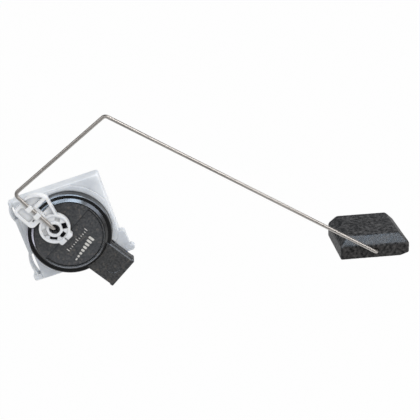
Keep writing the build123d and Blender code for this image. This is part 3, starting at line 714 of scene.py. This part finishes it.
@dataclass
class Lever:
    """The lever as the frame has it, with the windows of its hub and its arm opened wider.

    A hub window is given by its angle round the pivot, its size outward and its size across. The
    arm's is given by its middle along and aside of the arm, and the same two sizes.
    """

    finish: Finish
    window_radius: float = 6.0
    front: float = -26.0
    rear: float = -20.0
    open_floor: float = -22.2
    blind_floor: float = -22.8
    corner: float = 0.4
    merge: float = 0.002
    open_windows: tuple[Triple, ...] = ((358.0, 3.0, 3.9), (303.0, 2.6, 3.7), (246.0, 2.3, 3.9))
    blind_windows: tuple[Triple, ...] = ((184.0, 3.0, 4.8), (55.0, 2.3, 3.1))
    arm_window: tuple[float, float, float, float] = (12.5, -5.2, 2.0, 6.4)

    def build(self) -> None:
        """Copies the node, merges its loose triangles and cuts the windows."""
        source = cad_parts["lever"]
        mesh = source.data.copy()
        mesh.transform(source.matrix_world)
        piece = bpy.data.objects.new("lever_hub", mesh)
        bpy.context.scene.collection.objects.link(piece)
        with editing(piece):
            bpy.ops.mesh.select_all(action="SELECT")
            bpy.ops.mesh.customdata_custom_splitnormals_clear()
            bpy.ops.mesh.remove_doubles(threshold=mm(self.merge))
            bpy.ops.mesh.normals_make_consistent(inside=False)
        rows = (self.open_windows, self.open_floor), (self.blind_windows, self.blind_floor)
        for windows, floor in rows:
            for angle, outward, across in windows:
                self.cut(piece, angle, (self.window_radius, 0.0, outward, across), floor)
        self.cut(piece, ARM_ANGLE, self.arm_window, self.rear)
        smooth(piece)
        put_on(piece, self.finish, Body.ARM, "lever")

    def cut(
        self, piece: Piece, angle: float, window: tuple[float, float, float, float], floor: float
    ) -> None:
        """Cuts one window with rounded corners.

        Args:
            piece: The lever.
            angle: The way from the pivot along which the window is measured.
            window: Its middle along and aside of that way, and its sizes along and across it.
            floor: The depth at which the cut ends.
        """
        turn = math.radians(angle)
        along, aside, outward, across = window
        cutter = add_block((0.0, 0.0, 0.0), (outward, floor - self.front, across))
        bevel_edges(cutter, runs_deep, self.corner)
        cutter.rotation_euler = (0.0, -turn, 0.0)
        cutter.location = (
            mm(PIVOT[0] + along * math.cos(turn) - aside * math.sin(turn)),
            mm((self.front + floor) / 2),
            mm(PIVOT[1] + along * math.sin(turn) + aside * math.cos(turn)),
        )
        cut_away(piece, cutter)


@dataclass
class WireArm:
    """The bent wire, drawn along its runs and turned round its bends.

    Each run is given by its angle and its length.
    """

    finish: Finish
    diameter: float = 2.2
    bend_radius: float = 2.6
    root: tuple[float, float] = (ARM_ANGLE, 31.6)
    rise: tuple[float, float] = (22.8, 70.9)
    reach: tuple[float, float] = (-46.8, 187.4)
    level: float = -24.9
    foot: float = 4.7
    sides: int = 28
    bend_steps: int = 9
    point: float = 0.3

    def run_ends(self) -> list[Vector]:
        """Finds the ends of the runs across the face.

        Returns:
            The points from the pivot to the float's axis, in millimetres.
        """
        points = [Vector((PIVOT[0], self.level, PIVOT[1]))]
        for angle, length in (self.root, self.rise, self.reach):
            turn = math.radians(angle)
            points.append(points[-1] + length * Vector((math.cos(turn), 0.0, math.sin(turn))))
        return points

    def corners(self) -> list[Vector]:
        """Adds the two ends that are turned into the depth.

        Returns:
            The wire's corner points in millimetres, from its foot in the post to its far end.
        """
        points = self.run_ends()
        start, end = points[0].copy(), points[-1].copy()
        start.y = self.level + self.diameter / 2 + self.foot
        end.y = MM_PER_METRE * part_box("float_arm")[1].y
        return [start, *points, end]

    def build(self) -> None:
        """Draws the wire ring by ring, with an attribute that its finish follows."""
        corners = self.corners()
        first = (corners[1] - corners[0]).normalized()
        deselect_all()
        bpy.ops.mesh.primitive_circle_add(
            vertices=self.sides,
            radius=mm(self.diameter / 2 - self.point),
            location=corners[0] / MM_PER_METRE,
            rotation=first.to_track_quat("Z", "Y").to_euler(),
        )
        piece = bpy.context.object
        piece.name = "wire_arm"
        bpy.ops.object.transform_apply()
        draw = piece.data.attributes.new(DRAW_ATTRIBUTE, "FLOAT_VECTOR", "POINT")
        for index, item in enumerate(draw.data):
            turn = 2 * math.pi * index / self.sides
            item.vector = (math.cos(turn), math.sin(turn), 0.0)
        with editing(piece):
            bpy.ops.mesh.select_all(action="SELECT")
            bpy.ops.mesh.edge_face_add()
        self.draw_runs(piece, corners, first)
        with editing(piece):
            bpy.ops.mesh.edge_face_add()
            bpy.ops.mesh.select_all(action="SELECT")
            bpy.ops.mesh.normals_make_consistent(inside=False)
        self.measure(piece, corners)
        smooth(piece)
        put_on(piece, self.finish, Body.ARM, "float_arm")

    def draw_runs(self, piece: Piece, corners: list[Vector], first: Vector) -> None:
        """Extrudes the straight runs and spins the bends.

        Args:
            piece: The start ring with its cap.
            corners: The wire's corner points in millimetres.
            first: The direction of the first run.
        """
        radius = self.diameter / 2
        grow = radius / (radius - self.point)
        select_edges(piece, lambda a, b: True)
        with editing(piece):
            self.extend(self.point * first)
            reached = corners[0] + self.point * first
            self.scale_ring(grow, reached)
            for before_corner, corner, after_corner in zip(corners, corners[1:], corners[2:]):
                before = (corner - before_corner).normalized()
                after = (after_corner - corner).normalized()
                turn = before.angle(after)
                back = self.bend_radius * math.tan(turn / 2)
                self.extend(corner - back * before - reached)
                inward = (after - after.dot(before) * before).normalized()
                centre = corner - back * before + self.bend_radius * inward
                axis = before.cross(after).normalized()
                step, middle = turn / self.bend_steps, centre / MM_PER_METRE
                for _ in range(self.bend_steps):
                    bpy.ops.mesh.spin(steps=1, angle=step, center=middle, axis=-axis)
                reached = corner + back * after
            last = (corners[-1] - corners[-2]).normalized()
            self.extend(corners[-1] - self.point * last - reached)
            self.extend(self.point * last)
            self.scale_ring(1.0 / grow, corners[-1])

    def extend(self, run: Vector) -> None:
        """Extrudes the selected ring along a run in millimetres."""
        move = {"value": run / MM_PER_METRE}
        bpy.ops.mesh.extrude_region_move(TRANSFORM_OT_translate=move)

    def scale_ring(self, factor: float, centre: Vector) -> None:
        """Scales the selected ring about a point in millimetres."""
        bpy.ops.transform.resize(value=[factor] * 3, center_override=centre / MM_PER_METRE)

    def measure(self, piece: Piece, corners: list[Vector]) -> None:
        """Writes each point's distance along the wire into its attribute.

        Args:
            piece: The finished wire.
            corners: The wire's corner points in millimetres.
        """
        runs = []
        travelled = 0.0
        for a, b in zip(corners, corners[1:]):
            runs.append((a, (b - a).normalized(), (b - a).length, travelled))
            travelled += (b - a).length
        draw = piece.data.attributes[DRAW_ATTRIBUTE]
        for vertex, item in zip(piece.data.vertices, draw.data):
            point = MM_PER_METRE * vertex.co
            nearest = None
            for a, direction, length, begun in runs:
                along = max(0.0, min(length, (point - a).dot(direction)))
                gap = (point - a - along * direction).length
                if nearest is None or gap < nearest[0]:
                    nearest = (gap, begun + along)
            x, y, _ = item.vector
            item.vector = (x, y, mm(nearest[1]))


@dataclass
class Float:
    """The foam float: a block cut, rounded, bored for the wire and pitted by its cells.

    Its places are measured from the wire's axis through it, before the block is tilted.
    """

    finish: Finish
    axis: Vector
    length: float = 43.0
    left: float = 22.2
    below: float = 4.6
    above: float = 9.2
    slope: float = 5.2
    corner: float = 6.5
    corner_steps: int = 10
    tilt: float = -15.0
    cut_length: float = 5.5
    cut_rise: float = 1.9
    hole_radius: float = 1.3
    hole_mouth_radius: float = 1.9
    hole_mouth_depth: float = 0.8
    hole_sides: int = 32
    edge: float = 0.9
    voxel: float = 0.42
    pit_mm: float = 1.0
    pit_depth: float = 0.14
    pit_level: float = 0.62
    smooth_angle: float = 60.0

    def build(self) -> None:
        """Rounds the block's rear corners, slopes its top all round, bores it and pits it."""
        front, rear = (MM_PER_METRE * corner.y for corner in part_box("float_body"))
        right = self.length - self.left
        piece = add_block(
            ((right - self.left) / 2, (front + rear) / 2, (self.above - self.below) / 2),
            (self.length, rear - front, self.below + self.above),
        )
        piece.name = "float_foam"
        near, top = mm(rear - TOUCH), mm(self.above - TOUCH)
        bevel_edges(
            piece,
            lambda a, b: min(a.y, b.y) > near and abs(a.x - b.x) < mm(TOUCH),
            self.corner,
            self.corner_steps,
        )
        bevel_edges(piece, lambda a, b: min(a.z, b.z) > top, self.slope, 1)
        self.cut_underside(piece, right)
        rounding = {"width": mm(self.edge), "segments": ROUND_STEPS, "limit_method": "ANGLE"}
        finish_modifier(piece, "BEVEL", use_clamp_overlap=False, **rounding)
        self.bore(piece, front, rear)
        voxel = mm(self.voxel)
        finish_modifier(piece, "REMESH", mode="VOXEL", voxel_size=voxel, use_smooth_shade=True)
        self.pit(piece)
        smooth(piece, self.smooth_angle)
        piece.rotation_euler = (0.0, -math.radians(self.tilt), 0.0)
        piece.location = (mm(self.axis.x), 0.0, mm(self.axis.z))
        put_on(piece, self.finish, Body.FLOAT, "float_body")

    def cut_underside(self, piece: Piece, right: float) -> None:
        """Cuts the lower right edge off at a slant.

        Args:
            piece: The block.
            right: Its right end.
        """
        slant = Vector((self.cut_rise, 0.0, -self.cut_length)).normalized()
        with editing(piece):
            bpy.ops.mesh.select_all(action="SELECT")
            bpy.ops.mesh.bisect(
                plane_co=(mm(right), 0.0, mm(self.cut_rise - self.below)),
                plane_no=slant,
                use_fill=True,
                clear_outer=True,
            )

    def bore(self, piece: Piece, front: float, rear: float) -> None:
        """Bores the wire's hole, with a worn mouth where the wire enters.

        Args:
            piece: The block.
            front: The depth of its front face.
            rear: The depth of its rear face.
        """
        drills = (
            (self.hole_radius, 2 * (rear - front), (front + rear) / 2),
            (self.hole_mouth_radius, 2 * self.hole_mouth_depth, front),
        )
        for radius, length, middle in drills:
            deselect_all()
            bpy.ops.mesh.primitive_cylinder_add(
                vertices=self.hole_sides,
                radius=mm(radius),
                depth=mm(length),
                location=(0.0, mm(middle), 0.0),
                rotation=(math.pi / 2, 0.0, 0.0),
            )
            cut_away(piece, bpy.context.object)

    def pit(self, piece: Piece) -> None:
        """Presses the foam's coarser cells into the surface.

        Args:
            piece: The block.
        """
        cells = bpy.data.textures.new("foam_cells", "CLOUDS")
        cells.noise_scale = mm(self.pit_mm)
        cells.noise_depth = 2
        pits = {"strength": mm(self.pit_depth), "mid_level": self.pit_level}
        finish_modifier(piece, "DISPLACE", texture=cells, texture_coords="LOCAL", **pits)


@dataclass
class LevelPrint:
    """A plain level scale in white ink on the lid's sunken field: ticks, and bars that grow.

    Places are given along and across the connector, from the sensor's axis.
    """

    finish: Finish
    field_front: float = -19.45
    ink: float = 0.03
    corner_share: float = 0.4
    tick_foot: float = 6.2
    tick_width: float = 0.45
    tick_first: float = -8.0
    tick_step: float = 1.7
    tick_count: int = 11
    long_every: int = 5
    short_tick: float = 1.1
    long_tick: float = 2.2
    bar_foot: float = 13.2
    bar_width: float = 1.5
    bar_first: float = -9.6
    bar_step: float = 2.3
    bar_count: int = 8
    lowest_bar: float = 0.9
    bar_growth: float = 0.42

    def build(self) -> None:
        """Prints the ticks and the bars as one piece."""
        marks = []
        for number in range(self.tick_count):
            height = self.short_tick if number % self.long_every else self.long_tick
            across = self.tick_first + number * self.tick_step
            marks.append(self.mark(self.tick_foot, across, height, self.tick_width))
        for number in range(self.bar_count):
            height = self.lowest_bar + number * self.bar_growth
            across = self.bar_first + number * self.bar_step
            marks.append(self.mark(self.bar_foot, across, height, self.bar_width))
        pick(marks[0])
        for mark in marks:
            mark.select_set(True)
        bpy.ops.object.join()
        piece = marks[0]
        piece.name = "level_print"
        piece.rotation_euler = (0.0, -math.radians(CONNECTOR_ANGLE), 0.0)
        put_on(piece, self.finish, Body.BASE)

    def mark(self, foot: float, across: float, height: float, width: float) -> Piece:
        """Prints one mark with rounded corners, before the print is turned to the connector.

        Args:
            foot: Distance of its foot along the connector.
            across: Distance of its middle across the connector.
            height: Its height, from the foot towards the sensor's axis.
            width: Its width.

        Returns:
            The mark.
        """
        depth = self.field_front - self.ink / 2 + TOUCH
        piece = add_block((foot - height / 2, depth, across), (height, self.ink, width))
        bevel_edges(piece, runs_deep, self.corner_share * min(width, height))
        return piece


@dataclass(frozen=True)
class Softbox:
    """A soft rectangular lamp. Its glow is its radiance, where 1 is as bright as white paper.

    It lights the named pieces and nothing else, as a card held close to them would. A lamp for
    gloss alone draws highlights and adds no light to matt faces.
    """

    name: str
    where: Triple
    aim: Triple
    size: tuple[float, float]
    glow: float
    colour: str
    pieces: tuple[str, ...]
    gloss_only: bool = True

    def build(self) -> None:
        """Adds the lamp and links it to its pieces."""
        data = bpy.data.lights.new(self.name, "AREA")
        data.shape = "RECTANGLE"
        data.size, data.size_y = self.size
        data.energy = self.glow * math.pi * self.size[0] * self.size[1]
        data.color = linear(self.colour)[:3]
        lamp = bpy.data.objects.new(self.name, data)
        lamp.location = self.where
        way = Vector(self.aim) - Vector(self.where)
        lamp.rotation_euler = way.to_track_quat("-Z", "Y").to_euler()
        lamp.visible_camera = False
        lamp.visible_diffuse = not self.gloss_only
        bpy.context.scene.collection.objects.link(lamp)
        lit = bpy.data.collections.new(f"{self.name}_lights")
        for name in self.pieces:
            lit.objects.link(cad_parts.get(name) or bpy.data.objects[name])
        lamp.light_linking.receiver_collection = lit


SENSOR = ("sensor_housing", "sensor_lid")
WIRE = ("wire_arm",)
MIDDLE = (0.0, 0.0, 0.0)
WIRE_MIDDLE = (0.06, 0.0, 0.0)


@dataclass
class Studio:
    """Camera, lamps, world and floor, with lengths in metres."""

    lens_mm: float = 85.714
    nearest: float = 0.01
    camera_place: Triple = (0.10038, -0.57805, 0.20817)
    camera_right: Triple = (0.94910, -0.09203, -0.30123)
    camera_up: Triple = (0.31386, 0.35695, 0.87979)
    floor_level: float = -0.30
    floor_front: float = -0.30
    floor_size: float = 8.0
    floor_colour: str = "#BEBEBE"
    floor_roughness: float = 0.9
    floor_white: float = 0.98
    sky_toward: Triple = (0.6, -0.1, 0.79)
    sky_strength: tuple[float, float] = (0.3, 1.2)
    sky_colour: str = "#FAFBFD"
    mirror_front: float = 0.2
    mirror_depths: tuple[float, float] = (-0.75, 0.5)
    mirror_top: float = 0.16
    mirror_heights: tuple[float, float] = (-0.05, 0.12)
    softboxes: tuple[Softbox, ...] = (
        Softbox(
            "key", (0.42, -0.38, 0.36), (0.02, 0.0, 0.0), (0.36, 0.36), 3.4, WHITE,
            (*SENSOR, "carrier", "lever_hub", "float_foam", "float_retainer", "level_print"),
            gloss_only=False,
        ),
        Softbox(
            "top_strip", (-0.25, -0.38, 1.0), (-0.25, -0.38, 0.0), (2.3, 0.55), 17.0, "#D8EBFF",
            (*SENSOR, "float_foam"),
        ),
        Softbox("right_card", (1.0, -0.38, 0.3), MIDDLE, (0.5, 0.8), 6.0, "#E4EEFF", SENSOR),
        Softbox("left_card", (-0.9, 0.25, -0.1), MIDDLE, (0.5, 0.5), 6.5, "#ECEBFF", SENSOR),
        Softbox(
            "low_card", (-0.06, -0.14, -0.27), (0.0, -0.02, 0.0), (0.34, 0.2), 3.4, "#E4EEFF",
            ("sensor_lid",),
        ),
        Softbox("rear_card", (-0.17, 0.93, 0.32), MIDDLE, (0.9, 0.4), 4.0, "#DCE9FF", SENSOR),
        Softbox("wire_card", (2.7, -1.65, 1.5), WIRE_MIDDLE, (2.0, 2.0), 5.8, "#FFFCFB", WIRE),
        Softbox("wire_left", (-1.8, -1.3, 2.6), WIRE_MIDDLE, (1.8, 1.8), 2.2, "#FFFCFB", WIRE),
        Softbox("wire_front", (0.3, -3.0, 0.9), WIRE_MIDDLE, (2.4, 2.4), 0.9, WHITE, WIRE),
    )

    def build(self) -> None:
        """Sets up the whole studio."""
        self.add_camera()
        for softbox in self.softboxes:
            softbox.build()
        self.add_world()
        self.add_floor()
        bpy.context.scene.view_settings.view_transform = "Standard"
        log.info("studio: %d lamps", len(self.softboxes))

    def add_camera(self) -> None:
        """Adds the camera at the photograph's place."""
        right, up = Vector(self.camera_right).normalized(), Vector(self.camera_up)
        up = (up - up.dot(right) * right).normalized()
        turn = Matrix((right, up, right.cross(up))).transposed().to_4x4()
        data = bpy.data.cameras.new("camera")
        data.lens = self.lens_mm
        data.clip_start = self.nearest
        camera = bpy.data.objects.new("camera", data)
        camera.matrix_world = Matrix.Translation(self.camera_place) @ turn
        bpy.context.scene.collection.objects.link(camera)
        bpy.context.scene.camera = camera

    def add_world(self) -> None:
        """Lights the room softly from above and shows it white to the camera.

        Gloss mirrors it darker in front and above, so that black faces stay black.
        """
        world = bpy.data.worlds.new("studio")
        bpy.context.scene.world = world
        world.use_nodes = True
        tree = world.node_tree
        tree.nodes.clear()
        path = add_node(tree, "LightPath").node.outputs
        rays = {0: path["Is Camera Ray"], 1: path["Is Transmission Ray"]}
        seen = add_node(tree, "Math", rays, operation="MAXIMUM")
        direction = add_node(tree, "TexCoord", out="Generated")
        ways = add_node(tree, "SeparateXYZ", {"Vector": direction}).node.outputs
        toward = {0: direction, 1: self.sky_toward}
        lean = add_node(tree, "VectorMath", toward, "Value", operation="DOT_PRODUCT")
        sockets = ("Value", "From Min", "From Max", "To Min", "To Max")
        behind, below, lit = (
            add_node(tree, "MapRange", dict(zip(sockets, values)))
            for values in (
                (ways["Y"], *self.mirror_depths, self.mirror_front, 1.0),
                (ways["Z"], *self.mirror_heights, 1.0, self.mirror_top),
                (lean, -1.0, 1.0, *self.sky_strength),
            )
        )
        both = {0: behind, 1: below}
        mirrored = add_node(tree, "Math", both, operation="MULTIPLY")
        unseen = add_node(tree, "Mix", {0: path["Is Glossy Ray"], 2: lit, 3: mirrored})
        strength = add_node(tree, "Mix", {0: seen, 2: unseen, 3: 1.0})
        shades = {0: seen, 6: linear(self.sky_colour), 7: linear(WHITE)}
        tint = add_node(tree, "Mix", shades, 2, data_type="RGBA")
        sky = add_node(tree, "Background", {"Color": tint, "Strength": strength})
        add_node(tree, "OutputWorld", {"Surface": sky})

    def add_floor(self) -> None:
        """Lays white paper well below the part, which hangs on its mount. It keeps its shadow."""
        deselect_all()
        middle = (0.0, self.floor_front + self.floor_size / 2, self.floor_level)
        bpy.ops.mesh.primitive_plane_add(size=self.floor_size, location=middle)
        floor = bpy.context.object
        floor.name = "floor"
        material, tree, shader = new_material("white_paper")
        paper = {"Base Color": linear(self.floor_colour), "Roughness": self.floor_roughness}
        connect(tree, shader, paper)
        path = add_node(tree, "LightPath").node.outputs
        shown = path["Is Camera Ray"]
        for ray in ("Is Glossy Ray", "Is Transmission Ray"):
            both = {0: shown, 1: path[ray]}
            shown = add_node(tree, "Math", both, operation="MAXIMUM")
        share = add_node(tree, "Math", {0: shown, 1: self.floor_white}, operation="MULTIPLY")
        both = {0: share, 1: shader.outputs["BSDF"], 2: add_node(tree, "Emission")}
        mixed = add_node(tree, "MixShader", both)
        connect(tree, tree.nodes["Material Output"], {"Surface": mixed})
        floor.data.materials.append(material)


NODE_FINISHES: dict[str, Finish] = {
    # The carrier's thin walls let light in, and every edge is softly rounded.
    "carrier": MilkyAcetal("natural_acetal", edge_mm=0.45),
    # The housing is eroded on its shroud and outermost edge, and polished elsewhere.
    "sensor_housing": Polyester(
        "housing_polyester", edge_mm=0.25, grain_from_mm=25.8, shroud_half_mm=9.4
    ),
    # The lid is eroded on its face and polished on the slope round it, with a painted shadow line
    # at the foot of its field's step.
    "sensor_lid": Polyester(
        "lid_polyester", edge_mm=0.3, dull_light="#424140", grain_to_mm=20.9, step_shadow_mm=-1.8
    ),
    # Moulded nitrile rubber: a soft black with hardly any shine.
    "lid_seal": PlainFinish("nitrile_rubber", "#141313", "#1F1D1C", 0.6),
    # Green lacquer on glass laminate: an even colour with half a gloss.
    "circuit_board": PlainFinish("board_lacquer", "#0D3B22", "#14502F", 0.35),
    # Transfer-moulded epoxy: a matt near-black.
    "hall_sensor": PlainFinish("chip_resin", "#161616", "#222222", 0.5),
    # Tin plate on copper: a pale bright metal.
    "hall_sensor_legs": PlainMetal("tinned_legs", "#B5B4B0", "#D0CFCB", 0.3),
    # Fired ceramic: a warm tan with a dull shine.
    "capacitors": PlainFinish("fired_ceramic", "#8B6B4B", "#A68463", 0.45),
    # Glass glaze over a printed track: black with a clear shine.
    "resistors": PlainFinish("resistor_glaze", "#161616", "#262626", 0.3),
    # Tin plate on stamped brass: bright, and a little warmer than the legs.
    **{
        f"terminal_{wire}": PlainMetal(f"tinned_brass_{wire}", "#B8B5AC", "#D2CFC6", 0.28)
        for wire in ("ground", "signal", "supply")
    },
    # Solder, cooled from the melt: the smoothest of the metals.
    "solder_joints": PlainMetal("solder", "#A9AAAA", "#C9CACA", 0.22),
    # Epoxy, cast in place: a brown-black that levels itself and shines.
    "terminal_sealant": PlainFinish("cast_epoxy", "#17130F", "#241E18", 0.2),
    # Pressed and sintered ferrite: a dull dark grey.
    "magnet_ring": PlainFinish("sintered_ferrite", "#2A2A2C", "#3A3A3C", 0.6),
    # Steel sheet: a dark metal with no mirror in it. Its darkness is partly painted shade, so that
    # the lever's windows onto it read dark.
    "flux_ring": PlainMetal("darkened_steel", "#232324", "#333335", 0.5),
    # Acetal, moulded thick: white and satin.
    "float_retainer": PlainFinish("retainer_acetal", "#D5D9DC", "#E6E9EB", 0.35),
}
# The lever's acetal is whiter and smoother than the carrier's.
LEVER_ACETAL = MilkyAcetal(
    "white_acetal",
    edge_mm=0.3,
    corner_mm=2.0,
    corner_shade=0.74,
    shadow="#DDDFE2",
    colour="#F0F1F2",
    roughness=(0.25, 0.36),
)
# Pad-printed ink lies thin: a warm white with no shine.
PRINT_INK = PlainFinish("pad_print_ink", "#BDBBB5", "#E4E2DC", 0.55)


def main() -> None:
    """Builds the finishes, the pieces and the studio in order."""
    logging.basicConfig(level=logging.INFO, format="%(name)s: %(message)s")
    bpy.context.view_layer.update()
    wire = WireArm(DrawnStainless("drawn_stainless"))
    KeptNodes(NODE_FINISHES).build()
    Lever(LEVER_ACETAL).build()
    wire.build()
    Float(ClosedCellFoam("nitrile_foam"), axis=wire.run_ends()[-1]).build()
    LevelPrint(PRINT_INK).build()
    Studio().build()


if __name__ == "__main__":
    main()
